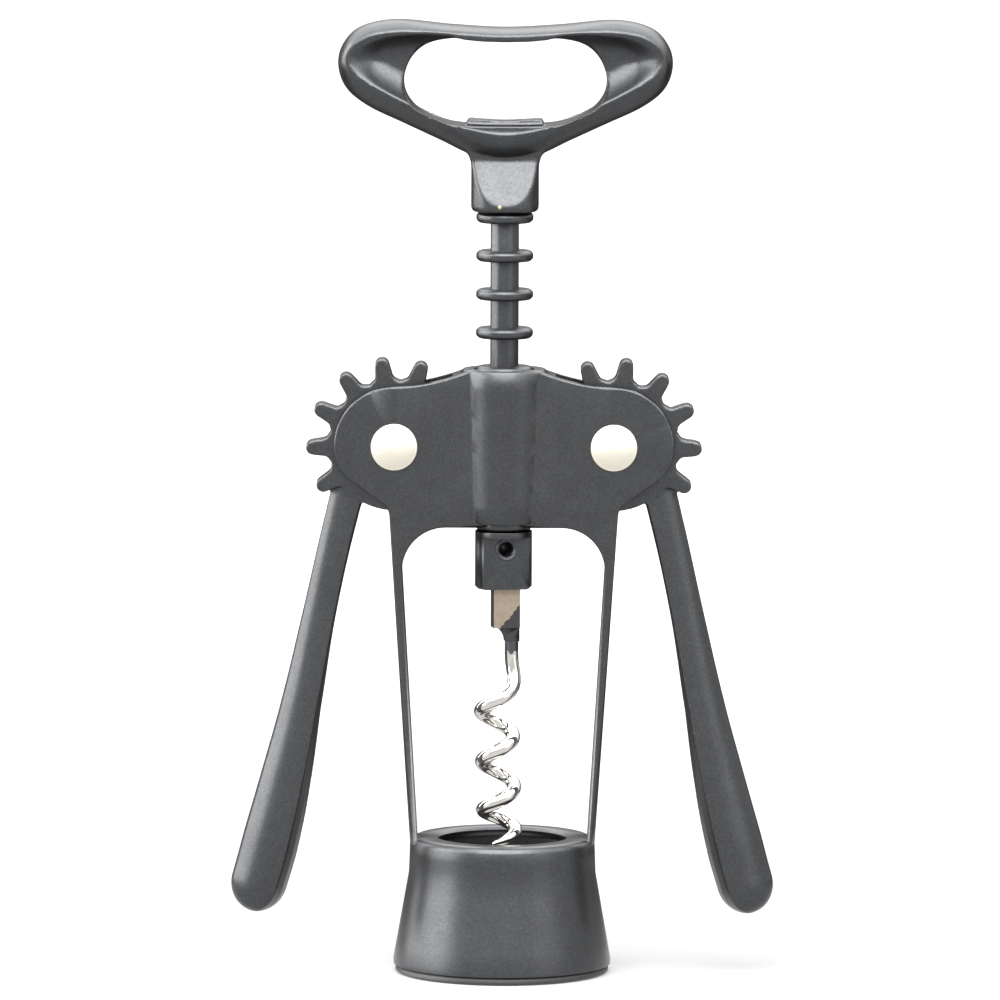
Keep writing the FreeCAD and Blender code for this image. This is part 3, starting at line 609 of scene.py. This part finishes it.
def handle():
    rest = bar("rest", REST_OUTLINE, REST_HALF_DEPTH)
    lip = bar("lip", LIP_OUTLINE, LIP_HALF_DEPTH)
    pieces = [handle_loop(), handle_hub(), rest, lip]
    for piece in pieces:
        outward(piece.data)
    return cast(joined("handle_casting", pieces), 0.32, 6)


def hub_pin():
    """Pin that locks the hub to the rod, its rear end flush with the ramp."""
    (low, wide), (high, narrow) = RAMP[:2]
    end = (0, ramp_depth(HUB_PIN_HEIGHT) + 0.05, HUB_BOTTOM + HUB_PIN_HEIGHT)
    return trimmed(copy_of("handle_pin", "hub_pin"), end, (0, high - low, wide - narrow))


# Wings

# Distance from the pivot, outer edge, inner edge, half depth, draft of the inner edge
ARM = [
    (4.0, -9.1, -2.5, 2.2, 0.35), (16.0, -8.45, -2.25, 2.55, 0.35), (34.0, -7.0, -0.7, 3.2, 0.35),
    (52.0, -5.7, 2.0, 4.25, 0.95), (66.0, -5.2, 4.4, 5.0, 1.7), (78.0, -4.9, 5.8, 5.4, 2.1),
    (86.4, -4.55, 6.05, 5.2, 2.0),
]
ROUND_SHARE = 0.74

# Side of a tooth as distance from the pivot and half width, and its round end
TOOTH_SIDE = [(10.0, 2.45), (12.2, 2.45), (12.43, 1.88), (13.0, 1.65), (15.22, 1.35)]
TOOTH_END = (15.22, 1.35)


def arm_ring(reach, outer, inner, depth, draft):
    """Cross-section: round outer edge, flat faces, drafted inner edge."""
    edge = outer + ROUND_SHARE * (inner - outer)
    ring = []
    for step in range(25):
        angle = math.pi * (step / 24 - 0.5)
        ring.append((edge + (outer - edge) * math.cos(angle), depth * math.sin(angle)))
    for step in range(1, 6):
        ring.append((edge + (inner - draft - edge) * step / 5, depth))
    ring.append((inner - 0.35 * draft, depth * 0.55))
    ring.append((inner, 0))
    ring.append((inner - 0.35 * draft, -depth * 0.55))
    for step in range(5):
        ring.append((inner - draft + (edge - inner + draft) * step / 5, -depth))
    return [(x, y, -reach) for x, y in ring]


def arm():
    """Arm hanging straight down from the pivot, with a round end."""
    rings = []
    for i in range(len(ARM) - 1):
        stops = [ARM[max(0, min(len(ARM) - 1, i + k - 1))] for k in range(4)]
        for step in range(8):
            t = step / 8
            reach = stops[1][0] + (stops[2][0] - stops[1][0]) * t
            rings.append(arm_ring(reach, *[
                catmull(*[stop[k] for stop in stops], t) for k in range(1, 5)]))
    end, outer, inner, depth, draft = ARM[-1]
    middle = (outer + inner) / 2
    half = (inner - outer) / 2
    for step in range(12):
        turn = math.pi / 2 * step / 12
        share = math.cos(turn)
        rings.append(arm_ring(end + TIP_LENGTH * math.sin(turn), middle - half * share,
                              middle + half * share, depth * share ** 0.8, draft * share))
    return mesh_piece("arm", *skin(rings))


def tooth_outline():
    place, radius = TOOTH_END
    tip = [(place + radius * math.cos(a), radius * math.sin(a))
           for a in [math.pi * (0.5 - k / 8) for k in range(1, 8)]]
    return TOOTH_SIDE + tip + [(x, -z) for x, z in TOOTH_SIDE[::-1]]


def plate_of(outline, half):
    rings = [[(x, y, z) for x, z in outline] for y in (-half, half)]
    return skin(rings)


def lever():
    """Toothed sector and arm of the left wing, at rest."""
    disc = [(ROOT_RADIUS * math.cos(a), ROOT_RADIUS * math.sin(a))
            for a in [2 * math.pi * k / 96 for k in range(96)]]
    pieces = [mesh_piece("disc", *plate_of(disc, SECTOR_HALF))]
    for index in range(TOOTH_COUNT):
        turn = math.radians(MESH_ANGLE + 360 / TEETH_PER_TURN * (index - 0.5))
        tooth = mesh_piece("tooth", *plate_of(tooth_outline(), SECTOR_HALF))
        tooth.data.transform(Matrix.Rotation(-turn, 4, "Y"))
        pieces.append(tooth)
    hanging = arm()
    hanging.data.transform(Matrix.Rotation(math.radians(REST_ANGLE), 4, "Y"))
    pieces.append(hanging)
    for piece in pieces:
        outward(piece.data)
    casting = cast(joined("lever", pieces), 0.3, 3)
    casting.data.transform(Matrix.Translation((-PIVOT[0] * MM, 0, PIVOT[1] * MM)))
    return casting


def mirrored(piece, name):
    mesh = piece.data.copy()
    mesh.transform(Matrix.Scale(-1, 4, (1, 0, 0)))
    mesh.flip_normals()
    twin = bpy.data.objects.new(name, mesh)
    bpy.context.scene.collection.objects.link(twin)
    return twin


# Worm

def helix(turn, radius=HELIX_RADIUS):
    """Point of the helix, whose pitch gets a little less at its lower end."""
    angle = math.radians(turn)
    done = HELIX_START - turn
    z = HELIX_TOP - HELIX_PITCH * (done - FLAT_SHARE * max(0.0, done - FLAT_FROM_TURN)) / 360
    lean = HELIX_LEAN * (HELIX_TOP - z)
    x = radius * math.cos(angle) - HELIX_OFFSET + lean
    return Vector((x, radius * math.sin(angle), z))


SHANK_HEIGHTS = (65.2, 63.5, 61.9, 60.3)
TURN_STEP = 6.0


def worm_path():
    """Centre line of the wire with its radius, from under the tang to the point."""
    shank_x = TANG_EDGE - WIRE_RADIUS
    path = [(Vector((shank_x, 0, z)), WIRE_RADIUS) for z in SHANK_HEIGHTS]
    start = helix(HELIX_START)
    heading = (helix(HELIX_START - 1) - start).normalized()
    end = path[-1][0]
    reach = (start - end).length * 0.45
    poles = [end, end - Vector((0, 0, reach)), start - heading * reach, start]
    for step in range(1, 8):
        t = step / 8
        weights = [(1 - t) ** 3, 3 * t * (1 - t) ** 2, 3 * t * t * (1 - t), t ** 3]
        middle = sum((p * w for p, w in zip(poles, weights)), Vector())
        path.append((middle, WIRE_RADIUS))
    turn = 0.0
    while turn <= HELIX_TURN + POINT_TURN:
        share = max(0.0, (turn - HELIX_TURN) / POINT_TURN)
        radius = WIRE_RADIUS * math.sqrt(1 - share) + POINT_RADIUS * share
        wider = HELIX_RADIUS + 0.4 * (WIRE_RADIUS - radius)
        path.append((helix(HELIX_START - turn, wider), radius))
        turn += TURN_STEP
    return path


def swept_wire(path, material):
    """Geometry Nodes: a round section swept along the path, scaled by the path's radius."""
    curve = bpy.data.curves.new("wire_path", "CURVE")
    curve.dimensions = "3D"
    spline = curve.splines.new("POLY")
    spline.points.add(len(path) - 1)
    for spot, (place, radius) in zip(spline.points, path):
        spot.co = (*(place * MM), 1)
        spot.radius = radius / WIRE_RADIUS
    piece = bpy.data.objects.new("worm_wire", curve)
    bpy.context.scene.collection.objects.link(piece)
    tree = bpy.data.node_groups.new("swept_wire", "GeometryNodeTree")
    face = tree.interface
    face.new_socket("Geometry", in_out="INPUT", socket_type="NodeSocketGeometry")
    size = face.new_socket("Wire radius", in_out="INPUT", socket_type="NodeSocketFloat")
    sides = face.new_socket("Sides", in_out="INPUT", socket_type="NodeSocketInt")
    face.new_socket("Geometry", in_out="OUTPUT", socket_type="NodeSocketGeometry")
    given = add(tree, "NodeGroupInput")
    section = add(tree, "GeometryNodeCurvePrimitiveCircle", {
        "Resolution": given.outputs["Sides"], "Radius": given.outputs["Wire radius"]})
    spread = add(tree, "GeometryNodeInputRadius")
    sweep = add(tree, "GeometryNodeCurveToMesh", {
        "Curve": given.outputs["Geometry"], "Profile Curve": section.outputs["Curve"],
        "Fill Caps": True})
    if "Scale" in sweep.inputs:
        tree.links.new(spread.outputs[0], sweep.inputs["Scale"])
    soft = add(tree, "GeometryNodeSetShadeSmooth", {"Geometry": sweep.outputs["Mesh"]})
    real = add(tree, "GeometryNodeRealizeInstances", {"Geometry": soft.outputs["Geometry"]})
    finish = add(tree, "GeometryNodeSetMaterial", {
        "Geometry": real.outputs["Geometry"], "Material": material})
    add(tree, "NodeGroupOutput", {"Geometry": finish.outputs["Geometry"]})
    work = piece.modifiers.new("sweep", "NODES")
    work.node_group = tree
    work[size.identifier] = WIRE_RADIUS * MM
    work[sides.identifier] = 28
    bpy.context.view_layer.update()
    seen = piece.evaluated_get(bpy.context.evaluated_depsgraph_get())
    mesh = bpy.data.meshes.new_from_object(seen)
    bpy.data.objects.remove(piece)
    result = bpy.data.objects.new("worm_wire", mesh)
    bpy.context.scene.collection.objects.link(result)
    return result


def worm_tang():
    """Flattened end of the wire, down to where the swept wire takes over."""
    tang = lowered(copy_of("worm", "worm_tang"))
    return trimmed(tang, (0, 0, BLOCK_BOTTOM - TANG_LENGTH), (0, 0, -1))


# Rack

def ring_profile():
    low = -RING_THICKNESS / 2
    root = SHAFT_RADIUS - 0.3
    crown = RING_RADIUS - RING_CHAMFER
    corners = [(root, low), (crown, low), (RING_RADIUS, low + RING_CHAMFER),
               (RING_RADIUS, -low - RING_CHAMFER), (crown, -low), (root, -low)]
    return rounded(corners, 0.25, 3)


def rack(material):
    """Geometry Nodes: one turned ring repeated up the shaft at the pitch of the teeth."""
    ring = mesh_piece("ring", *lathe(ring_profile(), 64))
    outward(ring.data)
    shaft = mesh_piece("rack_rings", *lathe(rounded([
        (ROD_BORE, SLEEVE_BOTTOM), (SHAFT_RADIUS, SLEEVE_BOTTOM),
        (SHAFT_RADIUS, SLEEVE_TOP), (ROD_BORE, SLEEVE_TOP)], 0.15, 2), 48))
    outward(shaft.data)
    tree = bpy.data.node_groups.new("ringed_rack", "GeometryNodeTree")
    face = tree.interface
    face.new_socket("Geometry", in_out="INPUT", socket_type="NodeSocketGeometry")
    shape = face.new_socket("Ring", in_out="INPUT", socket_type="NodeSocketObject")
    count = face.new_socket("Rings", in_out="INPUT", socket_type="NodeSocketInt")
    pitch = face.new_socket("Pitch", in_out="INPUT", socket_type="NodeSocketVector")
    first = face.new_socket("First ring", in_out="INPUT", socket_type="NodeSocketVector")
    face.new_socket("Geometry", in_out="OUTPUT", socket_type="NodeSocketGeometry")
    given = add(tree, "NodeGroupInput")
    column = add(tree, "GeometryNodeMeshLine", {
        "Count": given.outputs["Rings"], "Start Location": given.outputs["First ring"],
        "Offset": given.outputs["Pitch"]})
    model = add(tree, "GeometryNodeObjectInfo", {"Object": given.outputs["Ring"]})
    rings = add(tree, "GeometryNodeInstanceOnPoints", {
        "Points": column.outputs["Mesh"], "Instance": model.outputs["Geometry"]})
    whole = add(tree, "GeometryNodeJoinGeometry")
    tree.links.new(given.outputs["Geometry"], whole.inputs[0])
    tree.links.new(rings.outputs["Instances"], whole.inputs[0])
    real = add(tree, "GeometryNodeRealizeInstances", {"Geometry": whole.outputs[0]})
    finish = add(tree, "GeometryNodeSetMaterial", {
        "Geometry": real.outputs["Geometry"], "Material": material})
    add(tree, "NodeGroupOutput", {"Geometry": finish.outputs["Geometry"]})
    work = shaft.modifiers.new("rings", "NODES")
    work.node_group = tree
    work[shape.identifier] = ring
    work[count.identifier] = RING_COUNT
    work[pitch.identifier] = (0.0, 0.0, RING_PITCH * MM)
    work[first.identifier] = (0.0, 0.0, BOTTOM_RING_Z * MM)
    baked(shaft)
    bpy.data.objects.remove(ring)
    return shaded(shaft, 28)


# The pieces, each on its body

dress(handle(), graphite, "screw", "graphite_paint", "handle")
left = lever()
right = mirrored(left, "lever_right_casting")
left.name = "lever_left_casting"
dress(left, graphite, "left_wing", "graphite_paint", "lever_left")
dress(right, graphite, "right_wing", "graphite_paint", "lever_right")
dress(copy_of("frame", "frame_casting"), graphite, "frame", "graphite_paint", "frame")
dress(copy_of("bell_liner", "liner"), plastic, "frame", "black_plastic", "bell_liner")
dress(spindle(), graphite, "screw", "graphite_paint", "spindle")
dress(copy_of("worm_pin", "roll_pin"), graphite, "screw", "graphite_paint", "worm_pin")
dress(pin_rim(), chrome, "screw", "worm_chrome", "worm_pin")
dress(hub_pin(), graphite, "screw", "graphite_paint", "handle_pin")
dress(rack(graphite), graphite, "rack", "graphite_paint", "rack_sleeve")
for side, sign in (("left", -1), ("right", 1)):
    for half in ("rivet", "cap"):
        head = rivet_head("%s_%s_head" % (side, half), sign, half == "rivet")
        dress(head, nickel, "frame", "nickel_rivet", "pivot_%s_%s" % (half, side))

wire = swept_wire(worm_path(), chrome)
wire.data.transform(Matrix.Rotation(math.radians(BLOCK_TURN), 4, "Z"))
dress(wire, chrome, "screw", "worm_chrome", "worm")
dress(worm_tang(), steel, "screw", "worm_chrome", "worm")


# Stage: pale floor, white surroundings, soft boxes above the front and at both sides. Glossy
# rays see the surroundings dimmer behind the object, which outlines the chrome, and brighter
# above it.

def stage():
    floor = mesh_piece("floor", [(-4000, -4000, 0), (4000, -4000, 0), (4000, 4000, 0),
                                 (-4000, 4000, 0)], [(0, 1, 2, 3)])
    material, tree = new_material("studio_floor")
    path = add(tree, "ShaderNodeLightPath")
    spot = add(tree, "ShaderNodeTexCoord").outputs["Object"]
    paper = add(tree, "ShaderNodeBsdfDiffuse", {"Color": linear("#a9a9a9")})
    away = add(tree, "ShaderNodeVectorMath", {0: spot}, operation="LENGTH")
    wide = add(tree, "ShaderNodeMapRange", {
        "Value": away.outputs["Value"], 1: 0.1, 2: 0.7, 3: 0.35, 4: 1.0})
    lift = add(tree, "ShaderNodeMath", {
        0: path.outputs["Is Camera Ray"], 1: wide.outputs[0]}, operation="MULTIPLY")
    glow = add(tree, "ShaderNodeEmission", {"Strength": lift.outputs[0]})
    both = add(tree, "ShaderNodeAddShader", {0: paper.outputs[0], 1: glow.outputs[0]})
    depth = add(tree, "ShaderNodeSeparateXYZ", {"Vector": spot})
    front = add(tree, "ShaderNodeMapRange", {
        "Value": depth.outputs["Y"], 1: 0.02, 2: 0.16, 3: 1.2, 4: 0.12})
    shine = add(tree, "ShaderNodeEmission", {"Strength": front.outputs[0]})
    mix = add(tree, "ShaderNodeMixShader", {
        0: path.outputs["Is Glossy Ray"], 1: both.outputs[0], 2: shine.outputs[0]})
    add(tree, "ShaderNodeOutputMaterial", {"Surface": mix.outputs[0]})
    floor.data.materials.append(material)


def surroundings():
    world = bpy.data.worlds.new("studio")
    bpy.context.scene.world = world
    world.use_nodes = True
    tree = world.node_tree
    tree.nodes.clear()
    path = add(tree, "ShaderNodeLightPath")
    way = add(tree, "ShaderNodeSeparateXYZ", {
        "Vector": add(tree, "ShaderNodeTexCoord").outputs["Generated"]})
    back = add(tree, "ShaderNodeMath", {
        0: way.outputs["X"], 1: -0.4, 2: way.outputs["Y"]}, operation="MULTIPLY_ADD")
    behind = add(tree, "ShaderNodeMapRange", {
        "Value": back.outputs[0], 1: 0.2, 2: 0.75, 3: 1.0, 4: 0.07})
    high = add(tree, "ShaderNodeMapRange", {"Value": way.outputs["Z"], 1: 0.25, 2: 0.6})
    room = add(tree, "ShaderNodeMix", {0: high.outputs[0], 2: behind.outputs[0], 3: 4.6})
    soft = add(tree, "ShaderNodeMix", {
        0: path.outputs["Is Glossy Ray"], 2: 0.6, 3: room.outputs[0]})
    level = add(tree, "ShaderNodeMix", {
        0: path.outputs["Is Camera Ray"], 2: soft.outputs[0], 3: 1.0})
    sky = add(tree, "ShaderNodeBackground", {
        "Color": linear("#ffffff"), "Strength": level.outputs[0]})
    add(tree, "ShaderNodeOutputWorld", {"Surface": sky.outputs[0]})


def soft_box(name, place, width, height, watts):
    lamp = bpy.data.lights.new(name, "AREA")
    lamp.shape = "RECTANGLE"
    lamp.size = width
    lamp.size_y = height
    lamp.energy = watts
    box = bpy.data.objects.new(name, lamp)
    box.location = place
    aim = Vector((0, 0, 0.1)) - box.location
    box.rotation_euler = aim.to_track_quat("-Z", "Y").to_euler()
    bpy.context.scene.collection.objects.link(box)


def camera():
    """Long lens a little above the object, as in the photograph."""
    data = bpy.data.cameras.new("camera")
    data.lens = 432.0
    data.clip_end = 20
    eye = bpy.data.objects.new("camera", data)
    place = Vector((-0.0007, -2.24, 0.33665))
    target = Vector((-0.0007, 0, 0.08925))
    turn = (target - place).to_track_quat("-Z", "Y").to_matrix().to_4x4()
    roll = Matrix.Rotation(math.radians(0.24), 4, "Z")
    eye.matrix_world = Matrix.Translation(place) @ turn @ roll
    bpy.context.scene.collection.objects.link(eye)
    bpy.context.scene.camera = eye


stage()
surroundings()
soft_box("box_above", (0.0, -0.8, 1.2), width=1.4, height=1.4, watts=38)
soft_box("box_left", (-1.2, 0.08, 0.25), width=1.6, height=1.5, watts=48)
soft_box("box_right", (0.95, -0.8, 0.35), width=0.6, height=1.0, watts=2)
camera()
bpy.context.scene.view_settings.view_transform = "Standard"
